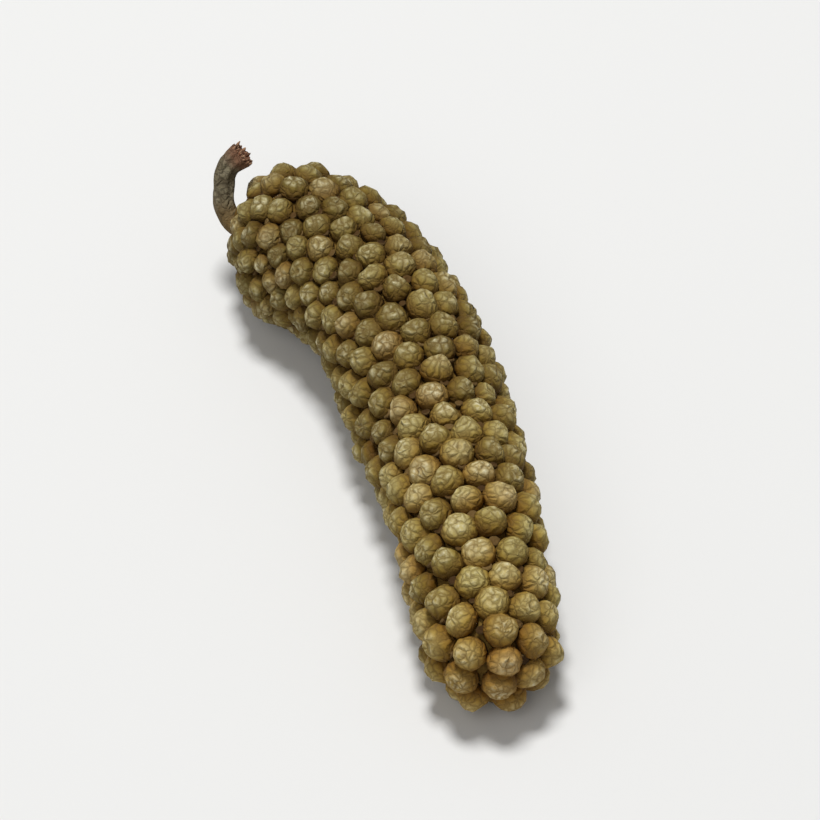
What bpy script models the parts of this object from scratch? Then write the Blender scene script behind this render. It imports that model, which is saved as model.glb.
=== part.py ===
"""A dried long pepper lying on its side: a spike of small berries and the stub of its stalk.

Run it with  blender --background --python part.py  or from Blender's text editor. Units are metres and +Z
is up. The origin is on the surface that the pepper lies on, under the middle of its bounding box, and +X
runs from the stalk towards the tip.
"""

import math
import random

import bmesh
import bpy
import numpy as np
from mathutils import Vector
from mathutils.geometry import interpolate_bezier

MM = 0.001

# Spike: the middle line that it has dried along, as one Bezier curve seen from above
SPINE_KNOTS = ((-10.50 * MM, -1.90 * MM), (11.80 * MM, -1.90 * MM))
SPINE_HANDLES = ((-7.50 * MM, 2.20 * MM), (-1.00 * MM, 1.60 * MM))
SPINE_STEPS = 120
SPINE_RUN_OUT = 3.0 * MM  # straight stretch past each end, which carries the end berries and the stalk

# Spike: radius of the skin that the berries stand on, near each end and over the rounded ends
SKIN_RADIUS_BASE = 2.42 * MM
SKIN_RADIUS_TIP = 1.72 * MM
TAPER_POWER = 2.8  # the taper grows towards the tip
BASE_ROUNDING = 2.1 * MM
TIP_ROUNDING = 1.8 * MM
SWELLING = 0.025  # share by which the skin swells and narrows along the spike
SWELLINGS = 2.6

# Berries: they follow one helix from the stalk to the tip, and grow coarser towards the tip
BERRY_PITCH_BASE = 0.96 * MM
BERRY_PITCH_TIP = 1.20 * MM
ROW_SHARE = 0.88  # distance between two turns of the helix, as a share of the pitch
HALF_STEP = 0.5  # each turn holds a whole number of berries and a half, so they sit in the gaps of the last
FIRST_BERRY = 1.45 * MM  # distance over the skin from the stalk's middle to the first berry
LAST_BERRY = 0.88 * MM  # distance over the skin from the last of the helix to the berry at the very tip
BERRY_RISE_SHARE = 0.56  # height of a berry above the skin, as a share of the pitch
PLACE_JITTER = 0.07  # of the pitch
RISE_JITTER = 0.12  # of the rise
SEED = 7

# A berry is a dome of rings between the corners it shares with its neighbours and its top
DOME_RINGS = ((0.88, 0.48), (0.53, 0.86))  # share of the way out to the corners, share of the rise
CORNER_ROUNDING = 0.45  # how far a ring goes from its corners' outline towards a circle
CROWDED_SHARE = 0.5  # how much of the squeeze along the spike, inside the bend, also lowers a berry
VALLEY_ANGLE = math.radians(55)  # faces that meet more sharply than this are shaded as a valley

# The pepper lies on three places, near both ends and in the middle of its bend, where its weight has flattened
# the undermost berries
FLAT_DEPTH = 0.18 * MM
ARCH_HEIGHT = 0.44 * MM  # how much higher it is between two of them
FIRST_REST_SHARE = 0.09  # of the spike's length
LAST_REST_SHARE = 0.93

# Stalk: stub of the stalk, standing in a socket in the spike's base
SOCKET_RADIUS = 0.80 * MM
SOCKET_DEPTH = 1.0 * MM
STALK_RADIUS = 0.42 * MM
# Points from the socket to the broken end: along the spike's axis, to its left, up, and share of the radius
STALK_POINTS = (
    (0.70 * MM, 0.00 * MM, 0.00 * MM, 1.15),
    (-0.15 * MM, 0.00 * MM, 0.00 * MM, 1.10),
    (-0.66 * MM, 0.22 * MM, 0.30 * MM, 0.92),
    (-0.88 * MM, 0.68 * MM, 0.98 * MM, 0.85),
    (-0.80 * MM, 1.12 * MM, 1.74 * MM, 0.90),
    (-0.34 * MM, 1.40 * MM, 2.20 * MM, 1.10),
)

BERRY_COLOUR = (0.235, 0.165, 0.070, 1.0)
STALK_COLOUR = (0.150, 0.120, 0.072, 1.0)


def clear_scene():
    for obj in list(bpy.data.objects):
        bpy.data.objects.remove(obj)


def material(name, colour, roughness):
    made = bpy.data.materials.new(name)
    made.use_nodes = True
    shader = made.node_tree.nodes["Principled BSDF"]
    shader.inputs["Base Color"].default_value = colour
    shader.inputs["Roughness"].default_value = roughness
    shader.inputs["Metallic"].default_value = 0.0
    made.diffuse_color = colour
    return made


def spine_line():
    """The spine's points with its straight run-outs, and the distance of each from the stalk's end."""
    curve = interpolate_bezier(
        *(Vector((*p, 0)) for p in (SPINE_KNOTS[0], *SPINE_HANDLES, SPINE_KNOTS[1])), SPINE_STEPS
    )
    before = curve[0] + (curve[0] - curve[1]).normalized() * SPINE_RUN_OUT
    after = curve[-1] + (curve[-1] - curve[-2]).normalized() * SPINE_RUN_OUT
    points = np.array([before, *curve, after])
    steps = np.linalg.norm(np.diff(points, axis=0), axis=1)
    return points, np.concatenate(([0], np.cumsum(steps))) - SPINE_RUN_OUT


SPINE_POINTS, SPINE_DISTANCES = spine_line()
SPINE_TANGENTS = np.gradient(SPINE_POINTS, SPINE_DISTANCES, axis=0)
SPIKE_LENGTH = SPINE_DISTANCES[-2]


def tapered_radius(along):
    """Radius of the skin at this distance from the stalk's end, without its swellings and rounded ends."""
    share = min(max(along / SPIKE_LENGTH, 0), 1)
    return SKIN_RADIUS_BASE + (SKIN_RADIUS_TIP - SKIN_RADIUS_BASE) * share**TAPER_POWER


def skin_radius(along):
    swelling = 1 + SWELLING * math.sin(along / SPIKE_LENGTH * SWELLINGS * math.tau)
    base = 1 - min(along / BASE_ROUNDING, 1)
    tip = 1 - min((SPIKE_LENGTH - along) / TIP_ROUNDING, 1)
    rounding = math.sqrt(max(0, 1 - base**2) * max(0, 1 - tip**2))
    return tapered_radius(along) * swelling * rounding


def berry_pitch(along):
    return BERRY_PITCH_BASE + (BERRY_PITCH_TIP - BERRY_PITCH_BASE) * along / SPIKE_LENGTH


def rest_height(along):
    """Height of the spine: it arches a little between the three places that the pepper lies on."""
    inside = min(max(along, 0), SPIKE_LENGTH)
    waves = 2 * (inside / SPIKE_LENGTH - FIRST_REST_SHARE) / (LAST_REST_SHARE - FIRST_REST_SHARE)
    arch = ARCH_HEIGHT * (1 - math.cos(waves * math.tau)) / 2
    return tapered_radius(inside) + BERRY_RISE_SHARE * berry_pitch(inside) - FLAT_DEPTH + arch


def bend(point):
    """Moves a point of the straight spike, which lies along +X, to its place on the bent one."""
    line = [np.interp(point.x, SPINE_DISTANCES, SPINE_POINTS[:, i]) for i in (0, 1)]
    ahead = Vector([np.interp(point.x, SPINE_DISTANCES, SPINE_TANGENTS[:, i]) for i in (0, 1)]).normalized()
    return Vector(
        (line[0] - ahead.y * point.y, line[1] + ahead.x * point.y, rest_height(point.x) + point.z)
    )


def stretch(point):
    """How many times longer bending makes the spike at this point of the straight one."""
    step = Vector((0.5 * MM, 0, 0))
    return (bend(point + step) - bend(point - step)).length / (2 * step.x)


class Skin:
    """The straight spike's skin, read by the distance over it from the stalk's end."""

    def __init__(self, steps=600):
        self.along = SPIKE_LENGTH * (1 - np.cos(np.linspace(0, math.pi, steps))) / 2
        self.radius = np.array([skin_radius(x) for x in self.along])
        over = np.hypot(np.diff(self.along), np.diff(self.radius))
        self.over = np.concatenate(([0], np.cumsum(over)))
        self.length = self.over[-1]

    def read(self, over):
        """Distance along the axis and radius."""
        return (float(np.interp(over, self.over, column)) for column in (self.along, self.radius))

    def place(self, over, angle):
        """The point of the skin there, and its outward normal."""
        step = 0.05 * MM
        along, radius = self.read(over)
        (x0, r0), (x1, r1) = self.read(over - step), self.read(over + step)
        slope = Vector((x1 - x0, r1 - r0)).normalized()
        outward = Vector((0, math.cos(angle), math.sin(angle)))
        return Vector((along, 0, 0)) + outward * radius, Vector((-slope.y, 0, 0)) + outward * slope.x


def berry_helix(skin):
    """Angle and distance over the skin of each berry, along the helix."""
    chance = random.Random(SEED)
    angle, over, places = 0.0, FIRST_BERRY, []
    while over < skin.length - LAST_BERRY:
        along, radius = skin.read(over)
        pitch = berry_pitch(along)
        in_turn = math.floor(math.tau * radius / pitch) + HALF_STEP
        shift = [chance.uniform(-PLACE_JITTER, PLACE_JITTER) for _ in range(2)]
        places.append((angle + shift[0] * math.tau / in_turn, over + shift[1] * pitch))
        angle += math.tau / in_turn
        over += ROW_SHARE * pitch / in_turn
    return places


def helix_triangles(angles, base_pole, tip_pole):
    """Joins each berry to the next, and to those of the turns beside it, with a fan of triangles at each pole."""
    last = len(angles) - 1
    first_turn = sum(angle < angles[0] + math.tau for angle in angles) - 1
    triangles = [(base_pole, i + 1, i) for i in range(first_turn)] + [(base_pole, 0, first_turn)]
    inner, outer = 0, first_turn
    while outer < last or angles[inner] + math.tau < angles[last]:
        inner_gap = abs(angles[inner + 1] + math.tau - angles[outer])
        if outer < last and abs(angles[outer + 1] - math.tau - angles[inner]) < inner_gap:
            triangles.append((inner, outer + 1, outer))
            outer += 1
        else:
            triangles.append((inner, inner + 1, outer))
            inner += 1
    return triangles + [(tip_pole, i, i + 1) for i in range(inner, last)] + [(tip_pole, last, inner)]


def cells_of(count, triangles):
    """For each point, the triangles round it in order: the corners of its cell."""
    after = [{} for _ in range(count)]
    for number, (a, b, c) in enumerate(triangles):
        for here, there, beyond in ((a, b, c), (b, c, a), (c, a, b)):
            after[here][there] = (beyond, number)
    cells = []
    for steps in after:
        start = here = min(steps)
        ring = []
        while not ring or here != start:
            here, number = steps[here]
            ring.append(number)
        cells.append(ring)
    return cells


def add_ring_faces(mesh, outer, inner):
    for i in range(len(outer)):
        j = (i + 1) % len(outer)
        mesh.faces.new((outer[i], outer[j], inner[j], inner[i]))


def raise_berry(mesh, corners, middle, normal, rise):
    """A faceted dome over the cell with these corners, lower if the cell is narrow."""
    spokes = [corner.co - middle for corner in corners]
    reach = sum(spoke.length for spoke in spokes) / len(spokes)
    rise = min(rise, min(spoke.length for spoke in spokes))
    outer = corners
    for spread, height in DOME_RINGS:
        ring = []
        for spoke in spokes:
            rounded = spoke.lerp(spoke.normalized() * reach, CORNER_ROUNDING)
            drop = normal * rounded.dot(normal)
            level = (rounded - drop) * spread + drop * spread**2
            ring.append(mesh.verts.new(middle + level + normal * rise * height))
        add_ring_faces(mesh, outer, ring)
        outer = ring
    top = mesh.verts.new(middle + normal * rise)
    for i in range(len(outer)):
        mesh.faces.new((outer[i], outer[(i + 1) % len(outer)], top))


def sink_socket(mesh, corners):
    """A round socket along the axis, inside the cell at the stalk's end."""
    outer = corners
    for depth in (0, SOCKET_DEPTH):
        ring = []
        for corner in corners:
            outward = Vector((0, corner.co.y, corner.co.z)).normalized()
            ring.append(mesh.verts.new(Vector((depth, 0, 0)) + outward * SOCKET_RADIUS))
        add_ring_faces(mesh, outer, ring)
        outer = ring
    mesh.faces.new(outer)


def flatten_underside(mesh):
    """Cuts off what reaches below the surface and closes each cut with one flat face."""
    bmesh.ops.bisect_plane(
        mesh,
        geom=mesh.verts[:] + mesh.edges[:] + mesh.faces[:],
        plane_co=(0, 0, 0),
        plane_no=(0, 0, 1),
        clear_inner=True,
    )
    bmesh.ops.holes_fill(mesh, edges=[edge for edge in mesh.edges if edge.is_boundary])


def fruit_spike(finish):
    """The berries raised from one closed skin, a cell to each berry, and the socket for the stalk."""
    skin = Skin()
    chance = random.Random(SEED + 1)
    helix = berry_helix(skin)
    places = [skin.place(over, angle) for angle, over in helix]
    base_pole, tip_pole = len(places), len(places) + 1
    places += [(Vector((0, 0, 0)), Vector((-1, 0, 0))), (Vector((SPIKE_LENGTH, 0, 0)), Vector((1, 0, 0)))]
    triangles = helix_triangles([angle for angle, _ in helix], base_pole, tip_pole)

    mesh = bmesh.new()
    corners = [mesh.verts.new(sum((places[i][0] for i in three), Vector()) / 3) for three in triangles]
    for number, cell in enumerate(cells_of(len(places), triangles)):
        cell_corners = [corners[i] for i in cell]
        if number == base_pole:
            sink_socket(mesh, cell_corners)
            continue
        middle, normal = places[number]
        rise = BERRY_RISE_SHARE * berry_pitch(middle.x) * (1 + chance.uniform(-RISE_JITTER, RISE_JITTER))
        rise *= 1 - CROWDED_SHARE * max(0, 1 - stretch(middle))
        raise_berry(mesh, cell_corners, middle, normal, rise)
    for vert in mesh.verts:
        vert.co = bend(vert.co)
    bmesh.ops.recalc_face_normals(mesh, faces=mesh.faces)
    flatten_underside(mesh)
    bmesh.ops.triangulate(mesh, faces=mesh.faces)

    data = bpy.data.meshes.new("fruit_spike")
    mesh.to_mesh(data)
    mesh.free()
    data.shade_smooth()
    data.set_sharp_from_angle(angle=VALLEY_ANGLE)
    data.materials.append(finish)
    spike = bpy.data.objects.new("fruit_spike", data)
    bpy.context.scene.collection.objects.link(spike)
    return spike


def stalk(finish):
    """A tapered tube from the socket to the broken end."""
    curve = bpy.data.curves.new("stalk", "CURVE")
    curve.dimensions = "3D"
    curve.bevel_depth = STALK_RADIUS
    curve.bevel_resolution = 2
    curve.resolution_u = 3
    curve.use_fill_caps = True
    spline = curve.splines.new("BEZIER")
    spline.bezier_points.add(len(STALK_POINTS) - 1)
    for knot, (along, left, up, share) in zip(spline.bezier_points, STALK_POINTS):
        knot.co = bend(Vector((along, left, up)))
        knot.radius = share
        knot.handle_left_type = knot.handle_right_type = "AUTO"
    curve.materials.append(finish)
    made = bpy.data.objects.new("stalk", curve)
    bpy.context.scene.collection.objects.link(made)
    return made


clear_scene()
fruit_spike(material("berry_skin", BERRY_COLOUR, 0.75))
stalk(material("stalk_bark", STALK_COLOUR, 0.85))
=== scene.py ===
"""A dried long pepper: a bent spike of small tan berries with a broken stub of stalk, lying on a table."""

import math
import random

import bpy
import numpy as np
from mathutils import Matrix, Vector, noise
from mathutils.geometry import interpolate_bezier


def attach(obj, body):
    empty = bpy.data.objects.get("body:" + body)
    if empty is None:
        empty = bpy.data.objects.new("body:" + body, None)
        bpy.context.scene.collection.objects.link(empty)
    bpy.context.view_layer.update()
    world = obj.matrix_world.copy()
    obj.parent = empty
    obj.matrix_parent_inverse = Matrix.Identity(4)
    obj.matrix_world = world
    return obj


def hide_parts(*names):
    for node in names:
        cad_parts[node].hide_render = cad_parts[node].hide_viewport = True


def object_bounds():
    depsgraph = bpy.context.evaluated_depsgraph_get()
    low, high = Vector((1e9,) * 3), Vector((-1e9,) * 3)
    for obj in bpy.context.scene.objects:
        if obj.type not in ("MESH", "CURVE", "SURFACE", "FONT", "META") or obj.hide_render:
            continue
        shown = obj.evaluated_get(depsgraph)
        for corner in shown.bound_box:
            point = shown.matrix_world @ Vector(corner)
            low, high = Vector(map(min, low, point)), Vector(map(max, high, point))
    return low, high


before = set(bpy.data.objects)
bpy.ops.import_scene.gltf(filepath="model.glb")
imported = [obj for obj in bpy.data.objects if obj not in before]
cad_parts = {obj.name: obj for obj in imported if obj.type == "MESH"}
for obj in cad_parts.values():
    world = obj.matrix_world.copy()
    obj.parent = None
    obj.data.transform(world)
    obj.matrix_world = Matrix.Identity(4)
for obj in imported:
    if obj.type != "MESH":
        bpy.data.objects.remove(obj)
cad_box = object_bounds()
MM = 0.001

# Rachis: the brown, fibrous core that every berry stands on, bent as it dried and seen only in the gaps.
# It is one closed skin with a collar puckered round the stalk. The berries, bracts and stalk all take
# their places from its middle line and its skin.
SPINE_STEPS = 120
SKIN_STEPS = 600
# Two ends and two handles of the middle line, seen from above
SPINE = (
    (-10.50 * MM, -1.90 * MM),
    (-7.50 * MM, 2.20 * MM),
    (-1.00 * MM, 1.60 * MM),
    (11.80 * MM, -1.90 * MM),
)
# Straight stretch past each end, which carries the end berries and the stalk
RUN_OUT = 3.0 * MM
SKIN_RADIUS = (2.42 * MM, 1.72 * MM)
TAPER_POWER = 2.8
ROUNDING = (2.1 * MM, 1.8 * MM)
SWELLING, SWELLINGS = 0.025, 2.6
BERRY_PITCH = (0.96 * MM, 1.20 * MM)
BERRY_RISE_SHARE = 0.56
FLAT_DEPTH = 0.18 * MM
ARCH_HEIGHT = 0.44 * MM
REST_SHARES = (0.09, 0.93)
# How far the rachis lies below the skin that the berries stand on, and how deep its fibres are
RACHIS_SINK = 0.06 * MM
CORE_FIBRE_DEPTH = 0.05 * MM
CORE_FIBRE_SCALE = (600, 4200, 4200)
COLLAR_RADIUS = 0.63 * MM
COLLAR_HEIGHT = 0.34 * MM
# Share of the collar's height and of its radius, from its throat over its rim to its foot
COLLAR_PROFILE = ((0.5, 0.45), (-0.1, 0.66), (-0.7, 0.73), (-1.0, 0.82), (-0.85, 0.97), (-0.3, 1.20))
# Distance over the skin from each end to the first and last ring
RACHIS_ENDS = (0.95 * MM, 0.15 * MM)
RACHIS_SIDES = 72
RACHIS_RINGS = 110
CREASE_WANDER = 0.5 * MM

curve = interpolate_bezier(*(Vector((*knot, 0)) for knot in SPINE), SPINE_STEPS)
before = curve[0] + (curve[0] - curve[1]).normalized() * RUN_OUT
after = curve[-1] + (curve[-1] - curve[-2]).normalized() * RUN_OUT
spine_points = np.array([before, *curve, after])
spine_steps = np.linalg.norm(np.diff(spine_points, axis=0), axis=1)
spine_distances = np.concatenate(([0], np.cumsum(spine_steps))) - RUN_OUT
spine_tangents = np.gradient(spine_points, spine_distances, axis=0)
spike_length = spine_distances[-2]


def share_along(along):
    return min(max(along / spike_length, 0), 1)


def berry_pitch(along):
    return BERRY_PITCH[0] + (BERRY_PITCH[1] - BERRY_PITCH[0]) * share_along(along)


def tapered_radius(along):
    return SKIN_RADIUS[0] + (SKIN_RADIUS[1] - SKIN_RADIUS[0]) * share_along(along) ** TAPER_POWER


def skin_radius(along):
    swelling = 1 + SWELLING * math.sin(along / spike_length * SWELLINGS * math.tau)
    base = 1 - min(along / ROUNDING[0], 1)
    tip = 1 - min((spike_length - along) / ROUNDING[1], 1)
    return tapered_radius(along) * swelling * math.sqrt(max(0, 1 - base**2) * max(0, 1 - tip**2))


def rest_height(along):
    """Height of the spine: it arches a little between the three places that the pepper lies on."""
    waves = 2 * (along / spike_length - REST_SHARES[0]) / (REST_SHARES[1] - REST_SHARES[0])
    arch = ARCH_HEIGHT * (1 - math.cos(waves * math.tau)) / 2
    return tapered_radius(along) + BERRY_RISE_SHARE * berry_pitch(along) - FLAT_DEPTH + arch


def bend(point):
    """Moves a point of the straight spike, which lies along +X, to its place on the bent one."""
    line = [np.interp(point.x, spine_distances, spine_points[:, i]) for i in (0, 1)]
    ahead = Vector([np.interp(point.x, spine_distances, spine_tangents[:, i]) for i in (0, 1)])
    ahead.normalize()
    height = rest_height(share_along(point.x) * spike_length)
    return Vector((line[0] - ahead.y * point.y, line[1] + ahead.x * point.y, height + point.z))


skin_along = spike_length * (1 - np.cos(np.linspace(0, math.pi, SKIN_STEPS))) / 2
skin_radii = np.array([skin_radius(x) for x in skin_along])
skin_over = np.concatenate(([0], np.cumsum(np.hypot(np.diff(skin_along), np.diff(skin_radii)))))


def read_skin(over):
    """Distance along the axis, and radius, at this distance over the skin from the stalk's end."""
    return (float(np.interp(over, skin_over, column)) for column in (skin_along, skin_radii))


def skin_place(over, angle):
    """The straight spike's skin there, and its outward normal."""
    step = 0.05 * MM
    along, radius = read_skin(over)
    (x0, r0), (x1, r1) = read_skin(over - step), read_skin(over + step)
    slope = Vector((x1 - x0, r1 - r0)).normalized()
    outward = Vector((0, math.cos(angle), math.sin(angle)))
    return Vector((along, 0, 0)) + outward * radius, Vector((-slope.y, 0, 0)) + outward * slope.x


def place(tree, kind, sockets=None, **settings):
    """Adds a node, sets its options, and fills its inputs with values or with other nodes' outputs."""
    made = tree.nodes.new(kind)
    for name, value in settings.items():
        setattr(made, name, value)
    for key, value in (sockets or {}).items():
        if isinstance(value, bpy.types.NodeSocket):
            tree.links.new(value, made.inputs[key])
        else:
            made.inputs[key].default_value = value
    return made


def new_group(name, kind, inputs, outputs):
    """A node group with its input and output nodes; each socket is a name, a type and a default."""
    tree = bpy.data.node_groups.new(name, kind)
    for title, socket, value in inputs:
        made = tree.interface.new_socket(title, in_out="INPUT", socket_type=socket)
        if value is not None:
            made.default_value = value
    for title, socket in outputs:
        tree.interface.new_socket(title, in_out="OUTPUT", socket_type=socket)
    return tree, tree.nodes.new("NodeGroupInput"), tree.nodes.new("NodeGroupOutput")


def ramp(tree, factor, stops):
    """A colour ramp through these positions and colours."""
    made = place(tree, "ShaderNodeValToRGB", {"Fac": factor})
    elements = made.color_ramp.elements
    while len(elements) < len(stops):
        elements.new(0.5)
    for element, (position, colour) in zip(elements, stops):
        element.position = position
        element.color = (*colour, 1)
    return made.outputs["Color"]


def mix_colour(tree, factor, a, b, blend="MIX"):
    made = place(tree, "ShaderNodeMix", {"Factor": factor}, data_type="RGBA", blend_type=blend)
    for key, value in ((6, a), (7, b)):
        if isinstance(value, bpy.types.NodeSocket):
            tree.links.new(value, made.inputs[key])
        else:
            made.inputs[key].default_value = (*value, 1)
    return made.outputs[2]


def maths(tree, operation, a, b=None, clamp=False):
    sockets = {0: a} if b is None else {0: a, 1: b}
    return place(tree, "ShaderNodeMath", sockets, operation=operation, use_clamp=clamp).outputs[0]


def new_material(name, roughness):
    """A node material with its Principled shader and its Object coordinates."""
    made = bpy.data.materials.new(name)
    made.use_nodes = True
    tree = made.node_tree
    shader = tree.nodes["Principled BSDF"]
    shader.inputs["Roughness"].default_value = roughness
    shader.inputs["Specular IOR Level"].default_value = 0.15
    return made, tree, shader, tree.nodes.new("ShaderNodeTexCoord").outputs["Object"]


def dried_grain_group():
    """Shrivelled plant skin: puts out blotch, fine grain and crease masks and a bumped normal."""
    inputs = (
        ("Vector", "NodeSocketVector", None),
        ("Blotch Scale", "NodeSocketFloat", 900.0),
        ("Grain Scale", "NodeSocketFloat", 6000.0),
        ("Crease Scale", "NodeSocketFloat", 2600.0),
        ("Depth", "NodeSocketFloat", 0.00003),
    )
    outputs = (
        ("Blotch", "NodeSocketFloat"),
        ("Grain", "NodeSocketFloat"),
        ("Crease", "NodeSocketFloat"),
        ("Normal", "NodeSocketVector"),
    )
    tree, enter, leave = new_group("dried_grain", "ShaderNodeTree", inputs, outputs)
    vector = enter.outputs["Vector"]
    blotch = place(
        tree,
        "ShaderNodeTexNoise",
        {"Vector": vector, "Scale": enter.outputs["Blotch Scale"], "Detail": 3.0},
    )
    grain = place(
        tree,
        "ShaderNodeTexNoise",
        {"Vector": vector, "Scale": enter.outputs["Grain Scale"], "Detail": 4.0},
    )
    shift = place(
        tree,
        "ShaderNodeVectorMath",
        {0: blotch.outputs["Color"], 1: (0.5, 0.5, 0.5)},
        operation="SUBTRACT",
    )
    wandering = place(
        tree,
        "ShaderNodeVectorMath",
        {0: shift.outputs[0], 1: (CREASE_WANDER, CREASE_WANDER, CREASE_WANDER), 2: vector},
        operation="MULTIPLY_ADD",
    )
    crease = place(
        tree,
        "ShaderNodeTexVoronoi",
        {"Vector": wandering.outputs[0], "Scale": enter.outputs["Crease Scale"]},
        feature="DISTANCE_TO_EDGE",
    )
    valley = maths(tree, "MULTIPLY", crease.outputs["Distance"], 2.8, clamp=True)
    height = maths(tree, "ADD", maths(tree, "MULTIPLY", grain.outputs["Fac"], 0.6), valley)
    bump = place(tree, "ShaderNodeBump", {"Height": height, "Distance": enter.outputs["Depth"]})
    for title, socket in (
        ("Blotch", blotch.outputs["Fac"]),
        ("Grain", grain.outputs["Fac"]),
        ("Crease", maths(tree, "SUBTRACT", 1.0, valley)),
        ("Normal", bump.outputs["Normal"]),
    ):
        tree.links.new(socket, leave.inputs[title])
    return tree


dried_grain = dried_grain_group()


def grain_node(tree, vector, **values):
    made = place(tree, "ShaderNodeGroup", node_tree=dried_grain)
    tree.links.new(vector, made.inputs["Vector"])
    for name, value in values.items():
        made.inputs[name.replace("_", " ")].default_value = value
    return made


def rachis_skin_material():
    made, tree, shader, vector = new_material("rachis_skin", 0.92)
    grain = grain_node(tree, vector, Blotch_Scale=1400.0, Grain_Scale=9000.0, Depth=0.00005)
    brown = ramp(
        tree,
        grain.outputs["Blotch"],
        ((0.32, (0.080, 0.040, 0.007)), (0.55, (0.150, 0.084, 0.016)), (0.75, (0.230, 0.145, 0.036))),
    )
    tree.links.new(brown, shader.inputs["Base Color"])
    tree.links.new(grain.outputs["Normal"], shader.inputs["Normal"])
    return made


def mesh_of_rings(name, rings, finish):
    """A closed smooth skin through these rings of points, capped at both ends."""
    sides = len(rings[0])
    faces = [tuple(reversed(range(sides)))]
    for i in range(len(rings) - 1):
        for j in range(sides):
            k = (j + 1) % sides
            faces.append((i * sides + j, i * sides + k, (i + 1) * sides + k, (i + 1) * sides + j))
    faces.append(tuple(range((len(rings) - 1) * sides, len(rings) * sides)))
    mesh = bpy.data.meshes.new(name)
    mesh.from_pydata([point for ring in rings for point in ring], [], faces)
    mesh.materials.append(finish)
    mesh.shade_smooth()
    made = bpy.data.objects.new(name, mesh)
    bpy.context.scene.collection.objects.link(made)
    return made


def rachis_rings():
    angles = [math.tau * j / RACHIS_SIDES for j in range(RACHIS_SIDES)]
    rings = []
    for height, share in COLLAR_PROFILE:
        up, wide = height * COLLAR_HEIGHT, share * COLLAR_RADIUS
        rings.append([Vector((up, math.cos(angle) * wide, math.sin(angle) * wide)) for angle in angles])
    first, last = RACHIS_ENDS[0], skin_over[-1] - RACHIS_ENDS[1]
    for i in range(RACHIS_RINGS):
        over = first + (last - first) * i / (RACHIS_RINGS - 1)
        ring = []
        for angle in angles:
            point, normal = skin_place(over, angle)
            fibre = noise.noise(Vector([part * scale for part, scale in zip(point, CORE_FIBRE_SCALE)]))
            ring.append(point - normal * (RACHIS_SINK + CORE_FIBRE_DEPTH * fibre))
        rings.append(ring)
    return [[bend(point) for point in ring] for ring in rings]


rachis = mesh_of_rings("rachis", rachis_rings(), rachis_skin_material())
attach(rachis, "root")
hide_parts("fruit_spike")

# Berries: several hundred dry fruits grown fused to the rachis along one helix, coarser towards the tip. A
# few small ones close the row round the stalk's foot, and the last are spread evenly round the tip. Each is
# a wrinkled bead with a scar on top, and those underneath are pressed flat where the pepper lies.
FIRST_BERRY = 1.45 * MM
LAST_BERRY = 0.58 * MM
ROW_SHARE = 0.88
HALF_STEP = 0.5
PLACE_JITTER = 0.07
BASE_BERRIES = 6
BASE_REACH = 1.08 * MM
# Round the tip, berries closer than the spacing push each other apart a little in each round
TIP_REACH = 3.4 * MM
TIP_SPACING = 1.45 * MM
TIP_ROUNDS = 50
TIP_PUSH = 0.15
SEED = 7
# Ranges of a bead's half width, as a share of the room that it has, and of its length and height
BEAD_WIDTHS = (0.49, 0.55)
BEAD_LENGTHS = (0.93, 1.06)
BEAD_RISES = (0.88, 1.14)
BEAD_LEAN = 0.14
# How many beads are shrunken, how far along the spike, and what width and height they keep
SHRUNKEN_SHARE = 0.07
SHRUNKEN_UNTIL = 0.86
SHRUNKEN_WIDTH, SHRUNKEN_RISE = 0.84, 0.70
BEAD_SIDES = 12
# Share of the bead's radius, share of its height
BEAD_PROFILE = ((0.96, -0.30), (1.08, 0.15), (0.98, 0.48), (0.72, 0.78), (0.40, 0.98), (0.15, 0.91))
# Name, number of creases down the side, and their depth
BEAD_CREASES = (("lopsided_bead", 1, 0.16), ("creased_bead", 2, 0.22), ("shrunken_bead", 3, 0.26))


def berry_helix():
    """Angle and distance over the skin of each berry, along the helix."""
    chance = random.Random(SEED)
    angle, over, places = 0.0, FIRST_BERRY, []
    while over < skin_over[-1] - LAST_BERRY:
        along, radius = read_skin(over)
        pitch = berry_pitch(along)
        in_turn = math.floor(math.tau * radius / pitch) + HALF_STEP
        shift = [chance.uniform(-PLACE_JITTER, PLACE_JITTER) for _ in range(2)]
        places.append((angle + shift[0] * math.tau / in_turn, over + shift[1] * pitch))
        angle += math.tau / in_turn
        over += ROW_SHARE * pitch / in_turn
    return places


def spread_tip(helix):
    """Spreads the berries evenly over the skin round the tip, so the end of the helix leaves no gap."""
    turns = [list(turn) for turn in helix] + [[0, skin_over[-1]]]
    near = [i for i, turn in enumerate(turns) if turn[1] > skin_over[-1] - TIP_REACH - TIP_SPACING]
    for _ in range(TIP_ROUNDS):
        points = np.array([skin_place(turns[i][1], turns[i][0])[0] for i in near])
        for i, point in zip(near[:-1], points):
            angle, over = turns[i]
            if over < skin_over[-1] - TIP_REACH:
                continue
            away = point - points
            distance = np.linalg.norm(away, axis=1)
            close = (distance > 0) & (distance < TIP_SPACING)
            pushes = away[close] * (TIP_SPACING / distance[close] - 1)[:, None]
            push = Vector(pushes.sum(axis=0)) * TIP_PUSH
            sideways = Vector((0, -math.sin(angle), math.cos(angle)))
            onward = skin_place(over, angle)[1].cross(sideways)
            turns[i][0] += push.dot(sideways) / math.hypot(point[1], point[2])
            turns[i][1] += push.dot(onward)
    return turns


def bent_place(point, normal):
    """A berry's foot on the bent spike, its outward and forward directions, and its stretch forward."""
    step = 0.3 * MM
    foot = bend(point)
    outward = (bend(point + normal * step) - foot).normalized()
    forward = bend(point + Vector((step, 0, 0))) - bend(point - Vector((step, 0, 0)))
    stretch = forward.length / (2 * step)
    forward = (forward - outward * forward.dot(outward)).normalized()
    return foot, outward, forward, stretch


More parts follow.
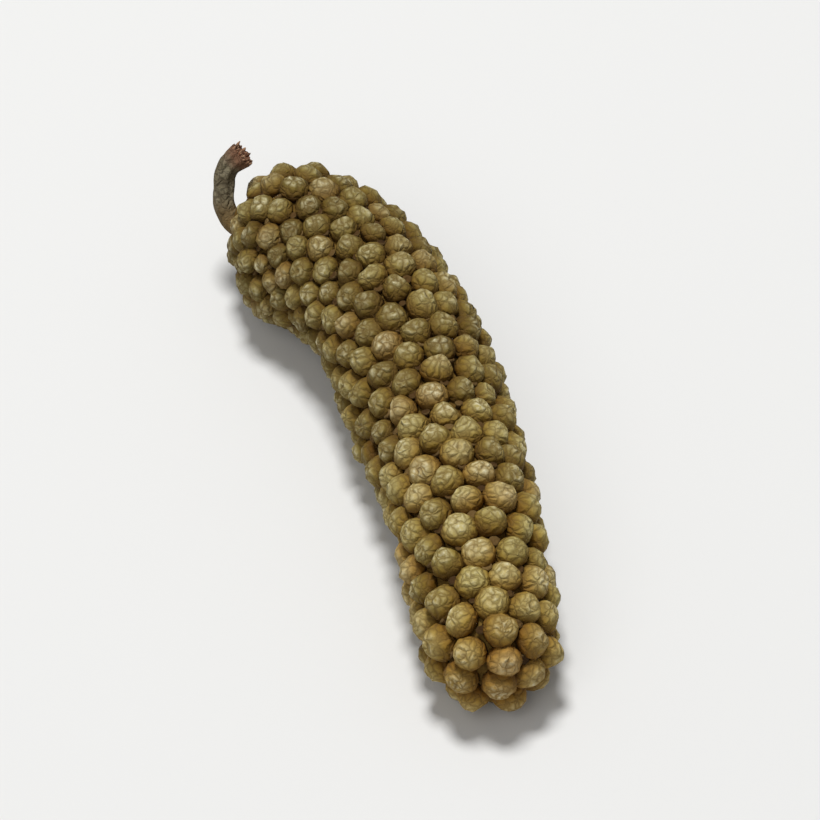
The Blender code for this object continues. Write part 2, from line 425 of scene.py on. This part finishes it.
def point_cloud(name, rows):
    """A mesh of loose points; each row is a point and its attributes by name."""
    mesh = bpy.data.meshes.new(name)
    mesh.from_pydata([row[0] for row in rows], [], [])
    for title, value in rows[0][1].items():
        vector = isinstance(value, Vector)
        layer = mesh.attributes.new(title, "FLOAT_VECTOR" if vector else "FLOAT", "POINT")
        flat = [part for row in rows for part in (row[1][title] if vector else (row[1][title],))]
        layer.data.foreach_set("vector" if vector else "value", flat)
    made = bpy.data.objects.new(name, mesh)
    bpy.context.scene.collection.objects.link(made)
    return made


def turned_shape(name, profile, sides, creases=1, crease_depth=0.0):
    """A closed turned shape of unit radius and height, which stores how far up and out each point is."""
    rings = []
    for radius, height in profile:
        ring = []
        for j in range(sides):
            angle = math.tau * j / sides
            hollow = (1 + math.cos(creases * angle)) / 2
            width = radius * (1 - crease_depth * max(0, height) * hollow)
            ring.append(Vector((math.cos(angle) * width, math.sin(angle) * width, height)))
        rings.append(ring)
    made = mesh_of_rings(name, rings, None)
    for title, column in (("shape_out", 0), ("shape_up", 1)):
        layer = made.data.attributes.new(title, "FLOAT", "POINT")
        layer.data.foreach_set("value", [row[column] for row in profile for _ in range(sides)])
    return made


def berry_rows():
    chance = random.Random(SEED + 2)
    first_turn = math.tau * FIRST_BERRY / BERRY_PITCH[0]
    places = []
    for number in range(1, BASE_BERRIES + 1):
        over = FIRST_BERRY - number * ROW_SHARE * BERRY_PITCH[0] / first_turn
        places.append(skin_place(max(over, BASE_REACH), -number * math.tau / first_turn))
    places += [skin_place(over, angle) for angle, over in spread_tip(berry_helix())]
    points = np.array([point for point, _ in places])
    rows = []
    for point, normal in places:
        foot, outward, forward, stretch = bent_place(point, normal)
        pitch = berry_pitch(point.x)
        spacing = np.sort(np.linalg.norm(points - point, axis=1))[1:6].mean()
        shrunken = chance.random() < SHRUNKEN_SHARE and share_along(point.x) < SHRUNKEN_UNTIL
        room = 0.4 * pitch + 0.6 * spacing
        wide = room * chance.uniform(*BEAD_WIDTHS) * (SHRUNKEN_WIDTH if shrunken else 1)
        rise = pitch * BERRY_RISE_SHARE * chance.uniform(*BEAD_RISES) * (SHRUNKEN_RISE if shrunken else 1)
        long = wide * (0.55 + 0.45 * stretch) * chance.uniform(*BEAD_LENGTHS)
        lean = Vector([chance.gauss(0, BEAD_LEAN) for _ in range(3)])
        values = {
            "facing": (outward + lean).normalized(),
            "forward": forward,
            "size": Vector((long, wide, rise)),
            "tone": chance.random(),
            "spike_share": share_along(point.x),
        }
        rows.append((foot, values))
    return rows


def growth_tree():
    """Sets one of three shapes on each point, turned and sized as the point says, wrinkled and seated."""
    inputs = (
        ("Points", "NodeSocketGeometry", None),
        ("First Shape", "NodeSocketObject", None),
        ("Second Shape", "NodeSocketObject", None),
        ("Third Shape", "NodeSocketObject", None),
        ("Wrinkle Scale", "NodeSocketFloat", 1500.0),
        ("Wrinkle Depth", "NodeSocketFloat", 0.0),
        ("Table Height", "NodeSocketFloat", 0.0),
        ("Seed", "NodeSocketInt", 1),
        ("Material", "NodeSocketMaterial", None),
    )
    outputs = (("Grown", "NodeSocketGeometry"),)
    tree, enter, leave = new_group("growth", "GeometryNodeTree", inputs, outputs)
    shapes = tree.nodes.new("GeometryNodeJoinGeometry")
    for title in ("Third Shape", "Second Shape", "First Shape"):
        sockets = {"Object": enter.outputs[title], "As Instance": True}
        shape = place(tree, "GeometryNodeObjectInfo", sockets)
        tree.links.new(shape.outputs["Geometry"], shapes.inputs["Geometry"])
    facing, forward, size = (
        place(tree, "GeometryNodeInputNamedAttribute", {"Name": title}, data_type="FLOAT_VECTOR").outputs[0]
        for title in ("facing", "forward", "size")
    )
    upright = place(tree, "FunctionNodeAlignRotationToVector", {"Vector": facing}, axis="Z")
    turned = place(
        tree,
        "FunctionNodeAlignRotationToVector",
        {"Rotation": upright.outputs[0], "Vector": forward},
        axis="X",
        pivot_axis="Z",
    )
    which = place(
        tree,
        "FunctionNodeRandomValue",
        {"Min": 0, "Max": 2, "Seed": enter.outputs["Seed"]},
        data_type="INT",
    )
    grown = place(
        tree,
        "GeometryNodeInstanceOnPoints",
        {
            "Points": enter.outputs["Points"],
            "Instance": shapes.outputs[0],
            "Pick Instance": True,
            "Instance Index": which.outputs[2],
            "Rotation": turned.outputs[0],
            "Scale": size,
        },
    )
    solid = place(tree, "GeometryNodeRealizeInstances", {"Geometry": grown.outputs[0]})
    position = tree.nodes.new("GeometryNodeInputPosition").outputs[0]
    normal = tree.nodes.new("GeometryNodeInputNormal").outputs[0]
    wrinkle = place(
        tree,
        "ShaderNodeTexNoise",
        {"Vector": position, "Scale": enter.outputs["Wrinkle Scale"], "Detail": 2.0, "Roughness": 0.65},
    )
    swing = maths(tree, "SUBTRACT", wrinkle.outputs[0], 0.5)
    depth = maths(tree, "MULTIPLY", swing, enter.outputs["Wrinkle Depth"])
    offset = place(tree, "ShaderNodeVectorMath", {0: normal, "Scale": depth}, operation="SCALE")
    wrinkled = place(
        tree,
        "GeometryNodeSetPosition",
        {"Geometry": solid.outputs[0], "Offset": offset.outputs[0]},
    )
    apart = place(tree, "ShaderNodeSeparateXYZ", {0: position})
    lifted = maths(tree, "MAXIMUM", apart.outputs["Z"], enter.outputs["Table Height"])
    together = place(
        tree, "ShaderNodeCombineXYZ", {"X": apart.outputs["X"], "Y": apart.outputs["Y"], "Z": lifted}
    )
    seated = place(
        tree,
        "GeometryNodeSetPosition",
        {"Geometry": wrinkled.outputs[0], "Position": together.outputs[0]},
    )
    coloured = place(
        tree,
        "GeometryNodeSetMaterial",
        {"Geometry": seated.outputs[0], "Material": enter.outputs["Material"]},
    )
    tree.links.new(coloured.outputs[0], leave.inputs["Grown"])
    return tree


def finished(made, tree, values, name):
    """The plain mesh that a Geometry Nodes tree makes of an object, with these values for its inputs."""
    modifier = made.modifiers.new(name, "NODES")
    modifier.node_group = tree
    for socket in tree.interface.items_tree:
        if socket.in_out == "INPUT" and socket.name in values:
            modifier[socket.identifier] = values[socket.name]
    graph = bpy.context.evaluated_depsgraph_get()
    graph.update()
    mesh = bpy.data.meshes.new_from_object(made.evaluated_get(graph), depsgraph=graph)
    bpy.data.objects.remove(made)
    mesh.name = name
    plain = bpy.data.objects.new(name, mesh)
    bpy.context.scene.collection.objects.link(plain)
    return plain


def eased(tree, a, b, slope):
    """A mask: nought where a is no more than b, and rising from there by this slope to one."""
    return maths(tree, "MULTIPLY", maths(tree, "SUBTRACT", a, b), slope, clamp=True)


def read_attributes(tree, *titles):
    return {
        title: place(tree, "ShaderNodeAttribute", attribute_name=title).outputs["Fac"] for title in titles
    }


def berry_skin_material():
    """Tan skin with painted shade down the flanks and in the creases, pale dust and a painted highlight on
    top, and a brown scar.
    """
    made, tree, shader, vector = new_material("berry_skin", 0.78)
    read = read_attributes(tree, "tone", "spike_share", "shape_up", "shape_out")
    grain = grain_node(
        tree, vector, Blotch_Scale=1700.0, Grain_Scale=7000.0, Crease_Scale=2900.0, Depth=0.00006
    )
    own_tone = maths(tree, "MULTIPLY", read["tone"], 0.7)
    blotches = maths(tree, "MULTIPLY", grain.outputs["Blotch"], 0.35)
    tan = ramp(
        tree,
        maths(tree, "ADD", own_tone, blotches),
        (
            (0.08, (0.180, 0.124, 0.028)),
            (0.38, (0.320, 0.240, 0.066)),
            (0.66, (0.425, 0.338, 0.112)),
            (0.92, (0.450, 0.310, 0.120)),
        ),
    )
    # Darker towards the stalk end and paler towards the tip: partly the pepper's own colour, partly painted
    # shade.
    length_tone_and_shade = ramp(
        tree,
        read["spike_share"],
        (
            (0.05, (0.66, 0.67, 0.66)),
            (0.46, (0.77, 0.77, 0.74)),
            (0.75, (1.14, 1.17, 1.26)),
            (0.92, (1.13, 1.21, 1.25)),
        ),
    )
    length_toned_and_shaded = mix_colour(tree, 1.0, tan, length_tone_and_shade, "MULTIPLY")
    ripe = eased(tree, read["spike_share"], 0.86, 6.0)
    warm = mix_colour(tree, maths(tree, "MULTIPLY", ripe, 0.55), length_toned_and_shaded, (0.480, 0.250, 0.065))
    # Painted shade: each bead darkens and browns down its flanks towards its foot, where it meets its
    # neighbours.
    painted_flank_shade = ramp(
        tree,
        read["shape_up"],
        ((0.06, (0.40, 0.24, 0.06)), (0.50, (0.70, 0.58, 0.34)), (0.84, (1.0, 1.0, 1.0))),
    )
    shaded = mix_colour(tree, 1.0, warm, painted_flank_shade, "MULTIPLY")
    # Painted shade: the skin's creases are darkened towards dark brown.
    crease = maths(tree, "MULTIPLY", maths(tree, "POWER", grain.outputs["Crease"], 2.0), 0.55)
    crease_shaded = mix_colour(tree, crease, shaded, (0.110, 0.062, 0.018))
    # Pale dust on the bead tops and ridges, which also serves as a painted highlight there; a few beads get
    # a brighter, whitish cap of it.
    top = eased(tree, read["shape_up"], 0.70, 3.3)
    dust_and_highlight_patches = eased(tree, grain.outputs["Grain"], 0.34, 3.4)
    ridge = maths(tree, "SUBTRACT", 1.0, grain.outputs["Crease"])
    chance = maths(tree, "FRACT", maths(tree, "MULTIPLY", read["tone"], 9.0))
    amount = maths(tree, "ADD", maths(tree, "MULTIPLY", maths(tree, "POWER", chance, 4.0), 0.9), 0.65)
    dusty_lit_top = maths(tree, "MULTIPLY", top, dust_and_highlight_patches)
    dust_and_highlight = maths(tree, "MULTIPLY", dusty_lit_top, maths(tree, "MULTIPLY", ridge, amount), clamp=True)
    dusted_and_highlit = mix_colour(tree, dust_and_highlight, crease_shaded, (0.650, 0.595, 0.390))
    scar = eased(tree, 0.20, read["shape_out"], 7.0)
    scarred = mix_colour(tree, maths(tree, "MULTIPLY", scar, 0.75), dusted_and_highlit, (0.090, 0.048, 0.016))
    tree.links.new(scarred, shader.inputs["Base Color"])
    tree.links.new(grain.outputs["Normal"], shader.inputs["Normal"])
    return made


growth = growth_tree()
shapes = [turned_shape(name, BEAD_PROFILE, BEAD_SIDES, *crease) for name, *crease in BEAD_CREASES]
berries = finished(
    point_cloud("berry_points", berry_rows()),
    growth,
    {
        "First Shape": shapes[0],
        "Second Shape": shapes[1],
        "Third Shape": shapes[2],
        "Wrinkle Scale": 1600.0,
        "Wrinkle Depth": 0.32 * MM,
        "Table Height": 0.01 * MM,
        "Seed": 3,
        "Material": berry_skin_material(),
    },
    "berries",
)
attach(berries, "root")
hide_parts("fruit_spike")
for shape in shapes:
    bpy.data.objects.remove(shape)

# Bracts: one small brown scale in the hollow below each berry, shaped like a shield on a short foot. They
# are dry leaf tissue, grown from the rachis and curled at the rim.
BRACT_PROFILE = ((0.30, -1.0), (0.42, 0.0), (1.00, 0.55), (0.92, 0.80), (0.35, 0.62))
BRACT_SIDES = 7
# Shares of the pitch between berries, and the ranges that they vary in
BRACT_WIDTH_SHARE = 0.17
BRACT_WIDTHS = (0.75, 1.2)
BRACT_HEIGHT_SHARE = 0.24
BRACT_HEIGHTS = (0.8, 1.15)
BRACT_LEAN = 0.22


def bract_rows():
    chance = random.Random(SEED + 4)
    helix = berry_helix()
    rows = []
    for (angle, over), (next_angle, next_over) in zip(helix, helix[1:]):
        along, _ = read_skin(over)
        pitch = berry_pitch(along)
        below = (over + next_over) / 2 - ROW_SHARE * pitch / 3
        foot, outward, forward, stretch = bent_place(*skin_place(below, (angle + next_angle) / 2))
        lean = Vector([chance.gauss(0, BRACT_LEAN) for _ in range(3)])
        wide = pitch * BRACT_WIDTH_SHARE * chance.uniform(*BRACT_WIDTHS)
        high = pitch * BRACT_HEIGHT_SHARE * chance.uniform(*BRACT_HEIGHTS)
        values = {
            "facing": (outward - forward * 0.25 + lean).normalized(),
            "forward": forward,
            "size": Vector((wide * stretch, wide, high)),
            "tone": chance.random(),
        }
        rows.append((foot, values))
    return rows


def bract_material():
    made, tree, shader, vector = new_material("bract", 0.85)
    read = read_attributes(tree, "tone", "shape_out")
    grain = grain_node(
        tree, vector, Blotch_Scale=2400.0, Grain_Scale=9000.0, Crease_Scale=5000.0, Depth=0.00002
    )
    brown = ramp(
        tree,
        read["tone"],
        ((0.10, (0.050, 0.024, 0.007)), (0.60, (0.095, 0.050, 0.014)), (0.95, (0.160, 0.098, 0.032))),
    )
    rim = eased(tree, read["shape_out"], 0.86, 6.0)
    rimmed = mix_colour(tree, maths(tree, "MULTIPLY", rim, 0.4), brown, (0.240, 0.165, 0.065))
    tree.links.new(rimmed, shader.inputs["Base Color"])
    tree.links.new(grain.outputs["Normal"], shader.inputs["Normal"])
    return made


bract_shape = turned_shape("bract_shape", BRACT_PROFILE, BRACT_SIDES, 2, 0.25)
bracts = finished(
    point_cloud("bract_points", bract_rows()),
    growth,
    {
        "First Shape": bract_shape,
        "Second Shape": bract_shape,
        "Third Shape": bract_shape,
        "Wrinkle Scale": 4000.0,
        "Wrinkle Depth": 0.04 * MM,
        "Table Height": 0.01 * MM,
        "Seed": 5,
        "Material": bract_material(),
    },
    "bracts",
)
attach(bracts, "root")
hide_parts("fruit_spike")
bpy.data.objects.remove(bract_shape)

# Stalk: the grey-brown stub that the spike was picked by, woody, ribbed lengthwise by drying and bent up.
# It grows out of the rachis collar and ends in a flared, reddish brown break.
STALK_RADIUS = 0.42 * MM
# Points from the collar to the break: along the spike's axis, to its left, up, and share of the radius
STALK_POINTS = (
    (0.70 * MM, 0.00 * MM, 0.00 * MM, 1.15),
    (-0.15 * MM, 0.00 * MM, 0.00 * MM, 1.16),
    (-0.66 * MM, 0.22 * MM, 0.30 * MM, 0.94),
    (-0.88 * MM, 0.68 * MM, 0.98 * MM, 0.85),
    (-0.80 * MM, 1.12 * MM, 1.74 * MM, 0.90),
    (-0.34 * MM, 1.40 * MM, 2.20 * MM, 1.10),
)


def stalk_line():
    """The stalk's middle line, with its radius, as one smooth curve."""
    line = bpy.data.curves.new("stalk_line", "CURVE")
    line.dimensions = "3D"
    line.resolution_u = 12
    spline = line.splines.new("BEZIER")
    spline.bezier_points.add(len(STALK_POINTS) - 1)
    for knot, (along, left, up, share) in zip(spline.bezier_points, STALK_POINTS):
        knot.co = bend(Vector((along, left, up)))
        knot.radius = share
        knot.handle_left_type = knot.handle_right_type = "AUTO"
    made = bpy.data.objects.new("stalk_line", line)
    bpy.context.scene.collection.objects.link(made)
    return made


def ribbed_stalk_tree():
    """A tube along a curve, with lengthwise ribs that wander, and the share of its length stored."""
    inputs = (
        ("Line", "NodeSocketGeometry", None),
        ("Radius", "NodeSocketFloat", 0.0004),
        ("Ribs", "NodeSocketFloat", 7.0),
        ("Rib Depth", "NodeSocketFloat", 0.00005),
        ("Knot Depth", "NodeSocketFloat", 0.00008),
        ("Material", "NodeSocketMaterial", None),
    )
    outputs = (("Tube", "NodeSocketGeometry"),)
    tree, enter, leave = new_group("ribbed_stalk", "GeometryNodeTree", inputs, outputs)
    line = place(tree, "GeometryNodeResampleCurve", {"Curve": enter.outputs["Line"], "Count": 70})
    along = place(
        tree,
        "GeometryNodeStoreNamedAttribute",
        {
            "Geometry": line.outputs[0],
            "Name": "stalk_along",
            "Value": tree.nodes.new("GeometryNodeSplineParameter").outputs["Factor"],
        },
        domain="POINT",
    )
    circle = place(
        tree, "GeometryNodeCurvePrimitiveCircle", {"Resolution": 42, "Radius": enter.outputs["Radius"]}
    )
    round_it = place(
        tree,
        "GeometryNodeStoreNamedAttribute",
        {
            "Geometry": circle.outputs[0],
            "Name": "stalk_round",
            "Value": tree.nodes.new("GeometryNodeSplineParameter").outputs["Factor"],
        },
        domain="POINT",
    )
    tube = place(
        tree,
        "GeometryNodeCurveToMesh",
        {
            "Curve": along.outputs[0],
            "Profile Curve": round_it.outputs[0],
            "Scale": tree.nodes.new("GeometryNodeInputRadius").outputs[0],
            "Fill Caps": True,
        },
    )
    far, turn = (
        place(tree, "GeometryNodeInputNamedAttribute", {"Name": title}, data_type="FLOAT").outputs[0]
        for title in ("stalk_along", "stalk_round")
    )
    position = tree.nodes.new("GeometryNodeInputPosition").outputs[0]
    knots = place(tree, "ShaderNodeTexNoise", {"Vector": position, "Scale": 1500.0, "Detail": 2.0})
    wander = maths(tree, "MULTIPLY", knots.outputs[0], 2.5)
    phase = maths(tree, "MULTIPLY", maths(tree, "MULTIPLY", turn, enter.outputs["Ribs"]), math.tau)
    twist = maths(tree, "ADD", maths(tree, "ADD", phase, wander), maths(tree, "MULTIPLY", far, 2.0))
    full_rib = maths(tree, "MULTIPLY", maths(tree, "COSINE", twist), enter.outputs["Rib Depth"])
    rib = maths(tree, "MULTIPLY", full_rib, eased(tree, far, 0.20, 2.0))
    swing = maths(tree, "SUBTRACT", knots.outputs[0], 0.5)
    knot = maths(tree, "MULTIPLY", swing, enter.outputs["Knot Depth"])
    normal = tree.nodes.new("GeometryNodeInputNormal").outputs[0]
    offset = place(
        tree,
        "ShaderNodeVectorMath",
        {0: normal, "Scale": maths(tree, "ADD", rib, knot)},
        operation="SCALE",
    )
    ribbed = place(
        tree,
        "GeometryNodeSetPosition",
        {"Geometry": tube.outputs[0], "Offset": offset.outputs[0]},
    )
    whole = place(tree, "GeometryNodeRealizeInstances", {"Geometry": ribbed.outputs[0]})
    coloured = place(
        tree,
        "GeometryNodeSetMaterial",
        {"Geometry": whole.outputs[0], "Material": enter.outputs["Material"]},
    )
    tree.links.new(coloured.outputs[0], leave.inputs["Tube"])
    return tree


def stalk_bark_material():
    made, tree, shader, vector = new_material("stalk_bark", 0.86)
    along = read_attributes(tree, "stalk_along")["stalk_along"]
    grain = grain_node(
        tree, vector, Blotch_Scale=2600.0, Grain_Scale=8000.0, Crease_Scale=3600.0, Depth=0.00005
    )
    bark = ramp(
        tree,
        grain.outputs["Blotch"],
        ((0.28, (0.105, 0.084, 0.048)), (0.50, (0.200, 0.170, 0.104)), (0.72, (0.290, 0.255, 0.170))),
    )
    # Painted shade: the bark's creases are darkened.
    crease = maths(tree, "MULTIPLY", grain.outputs["Crease"], 0.55)
    crease_shaded = mix_colour(tree, crease, bark, (0.062, 0.044, 0.026))
    near_foot = eased(tree, 0.55, along, 4.0)
    footed = mix_colour(tree, maths(tree, "MULTIPLY", near_foot, 0.8), crease_shaded, (0.150, 0.088, 0.026))
    near_end = eased(tree, along, 0.84, 9.0)
    ended = mix_colour(tree, maths(tree, "MULTIPLY", near_end, 0.85), footed, (0.175, 0.082, 0.046))
    tree.links.new(ended, shader.inputs["Base Color"])
    tree.links.new(grain.outputs["Normal"], shader.inputs["Normal"])
    return made


stalk = finished(
    stalk_line(),
    ribbed_stalk_tree(),
    {
        "Radius": STALK_RADIUS,
        "Ribs": 7.0,
        "Rib Depth": 0.05 * MM,
        "Knot Depth": 0.10 * MM,
        "Material": stalk_bark_material(),
    },
    "stalk_stub",
)
stalk.data.shade_smooth()
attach(stalk, "root")
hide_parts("stalk")

# Fibres: the splinters of wood and bark left standing where the stalk was broken off, red-brown with pale
# tips. They stand close together over the whole break, longest at its rim, and lean outwards there.
FIBRE_COUNT = 34
FIBRE_TURN = 2.39996
FIBRE_LEAN = 0.12
# Share of the break's radius that they stand on, and how far their feet are sunk in it
FIBRE_REACH = 0.96
FIBRE_SINK = 0.03 * MM
FIBRE_PROFILE = ((0.80, -0.5), (1.0, 0.0), (0.75, 0.5), (0.40, 0.85), (0.12, 1.0))
FIBRE_WIDTH = (0.035 * MM, 0.085 * MM)
FIBRE_LENGTH = (0.08 * MM, 0.26 * MM)


def fibre_rows():
    chance = random.Random(SEED + 6)
    last, before = (bend(Vector(point[:3])) for point in (STALK_POINTS[-1], STALK_POINTS[-2]))
    ahead = (last - before).normalized()
    side = ahead.orthogonal().normalized()
    across = ahead.cross(side)
    radius = STALK_RADIUS * STALK_POINTS[-1][3]
    rows = []
    for number in range(FIBRE_COUNT):
        angle = number * FIBRE_TURN
        out = radius * math.sqrt((number + 0.5) / FIBRE_COUNT) * FIBRE_REACH
        spoke = side * math.cos(angle) + across * math.sin(angle)
        rim = out / radius
        lean = Vector([chance.gauss(0, FIBRE_LEAN) for _ in range(3)])
        widths = [chance.uniform(*FIBRE_WIDTH) for _ in range(2)]
        length = chance.uniform(*FIBRE_LENGTH) * (0.45 + 0.55 * rim)
        values = {
            "facing": (ahead + spoke * 0.35 * rim + lean).normalized(),
            "forward": spoke,
            "size": Vector((*widths, length)),
            "tone": chance.random(),
        }
        rows.append((last + spoke * out - ahead * FIBRE_SINK, values))
    return rows


def fibre_material():
    made, tree, shader, vector = new_material("stalk_fibre", 0.8)
    read = read_attributes(tree, "tone", "shape_up")
    grain = grain_node(
        tree, vector, Blotch_Scale=3000.0, Grain_Scale=9000.0, Crease_Scale=6000.0, Depth=0.00002
    )
    red = ramp(
        tree,
        read["tone"],
        ((0.10, (0.090, 0.036, 0.018)), (0.60, (0.210, 0.090, 0.048)), (0.95, (0.330, 0.190, 0.110))),
    )
    tipped = mix_colour(tree, eased(tree, read["shape_up"], 0.6, 1.6), red, (0.400, 0.280, 0.170))
    tree.links.new(tipped, shader.inputs["Base Color"])
    tree.links.new(grain.outputs["Normal"], shader.inputs["Normal"])
    return made


fibre_shape = turned_shape("fibre_shape", FIBRE_PROFILE, 6)
fibres = finished(
    point_cloud("fibre_points", fibre_rows()),
    growth,
    {
        "First Shape": fibre_shape,
        "Second Shape": fibre_shape,
        "Third Shape": fibre_shape,
        "Wrinkle Scale": 5000.0,
        "Wrinkle Depth": 0.03 * MM,
        "Table Height": 0.01 * MM,
        "Seed": 9,
        "Material": fibre_material(),
    },
    "stalk_fibres",
)
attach(fibres, "root")
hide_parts("stalk")
bpy.data.objects.remove(fibre_shape)

# Table and light: a plain white surface, lit softly from above and from the camera's left, and the camera's
# long lens, looking down on the pepper.
TABLE_SIZE = 3.0
TABLE_WHITE = (0.74, 0.74, 0.73, 1)
VIEW_AZIMUTH = math.radians(66)
VIEW_ELEVATION = math.radians(50)
VIEW_HEIGHT = 29 * MM
LENS = 300
SENSOR = 36
# Name, degrees round from the camera and up from the table, metres away and across, watts
LAMPS = (("key", -160, 78, 0.35, 0.09, 1.05), ("fill", -30, 50, 0.40, 0.30, 0.30))
ROOM_LIGHT = 0.24


def table():
    half = TABLE_SIZE / 2
    corners = [(-half, -half, 0), (half, -half, 0), (half, half, 0), (-half, half, 0)]
    mesh = bpy.data.meshes.new("table")
    mesh.from_pydata(corners, [], [(0, 1, 2, 3)])
    made, _, shader, _ = new_material("table_white", 0.9)
    shader.inputs["Base Color"].default_value = TABLE_WHITE
    mesh.materials.append(made)
    board = bpy.data.objects.new("table", mesh)
    bpy.context.scene.collection.objects.link(board)


def direction(azimuth, elevation):
    """From the pepper towards a viewer at this azimuth and elevation."""
    flat = math.cos(elevation)
    return Vector((math.sin(azimuth) * flat, -math.cos(azimuth) * flat, math.sin(elevation)))


def aim(thing, spot, target):
    thing.location = spot
    thing.rotation_euler = (target - spot).to_track_quat("-Z", "Y").to_euler()


def soft_light(name, azimuth, elevation, distance, size, power, target):
    lamp = bpy.data.lights.new(name, "AREA")
    lamp.shape = "DISK"
    lamp.size = size
    lamp.energy = power
    made = bpy.data.objects.new(name, lamp)
    bpy.context.scene.collection.objects.link(made)
    aim(made, target + direction(azimuth, elevation) * distance, target)


table()
middle = (cad_box[0] + cad_box[1]) / 2
camera_data = bpy.data.cameras.new("camera")
camera_data.lens = LENS
camera_data.sensor_width = SENSOR
camera_data.clip_start = 0.01
camera = bpy.data.objects.new("camera", camera_data)
bpy.context.scene.collection.objects.link(camera)
bpy.context.scene.camera = camera
aim(camera, middle + direction(VIEW_AZIMUTH, VIEW_ELEVATION) * VIEW_HEIGHT * LENS / SENSOR, middle)

for name, turn, height, *lamp in LAMPS:
    soft_light(name, VIEW_AZIMUTH + math.radians(turn), math.radians(height), *lamp, middle)
world = bpy.data.worlds.new("studio")
world.use_nodes = True
background = world.node_tree.nodes["Background"]
background.inputs["Color"].default_value = (1, 1, 1, 1)
background.inputs["Strength"].default_value = ROOM_LIGHT
bpy.context.scene.world = world
bpy.context.scene.view_settings.view_transform = "Standard"
